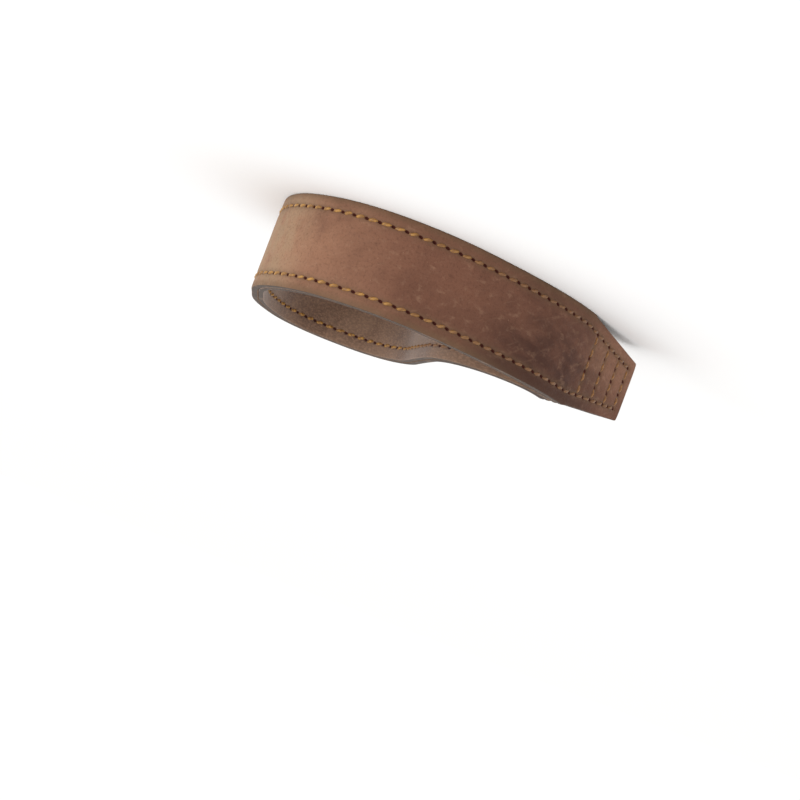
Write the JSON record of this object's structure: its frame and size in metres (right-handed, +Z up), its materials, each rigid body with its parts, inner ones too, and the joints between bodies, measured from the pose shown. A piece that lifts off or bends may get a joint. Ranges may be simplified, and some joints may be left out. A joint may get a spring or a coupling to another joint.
{
  "type": "leather camera wrist strap",
  "caption": "Wrist strap of stitched brown leather, standing on edge as an open loop with a tapered sewn tail.",
  "frame": {"origin": "middle of the footprint, on the surface that the strap stands on", "axes": "+Z up across the strap's width, -X towards the sewn tail, -Y the way the long outer face of the front looks"},
  "size_m": [0.102, 0.0842, 0.025],
  "materials": {
    "outer_leather": "waxed, scuffed, matt",
    "lining_leather": "raw suede",
    "thread": "waxed thread"
  },
  "bodies": {
    "root": {"outer_leather": "outer_leather", "lining_leather": "lining_leather"}
  },
  "joints": []
}
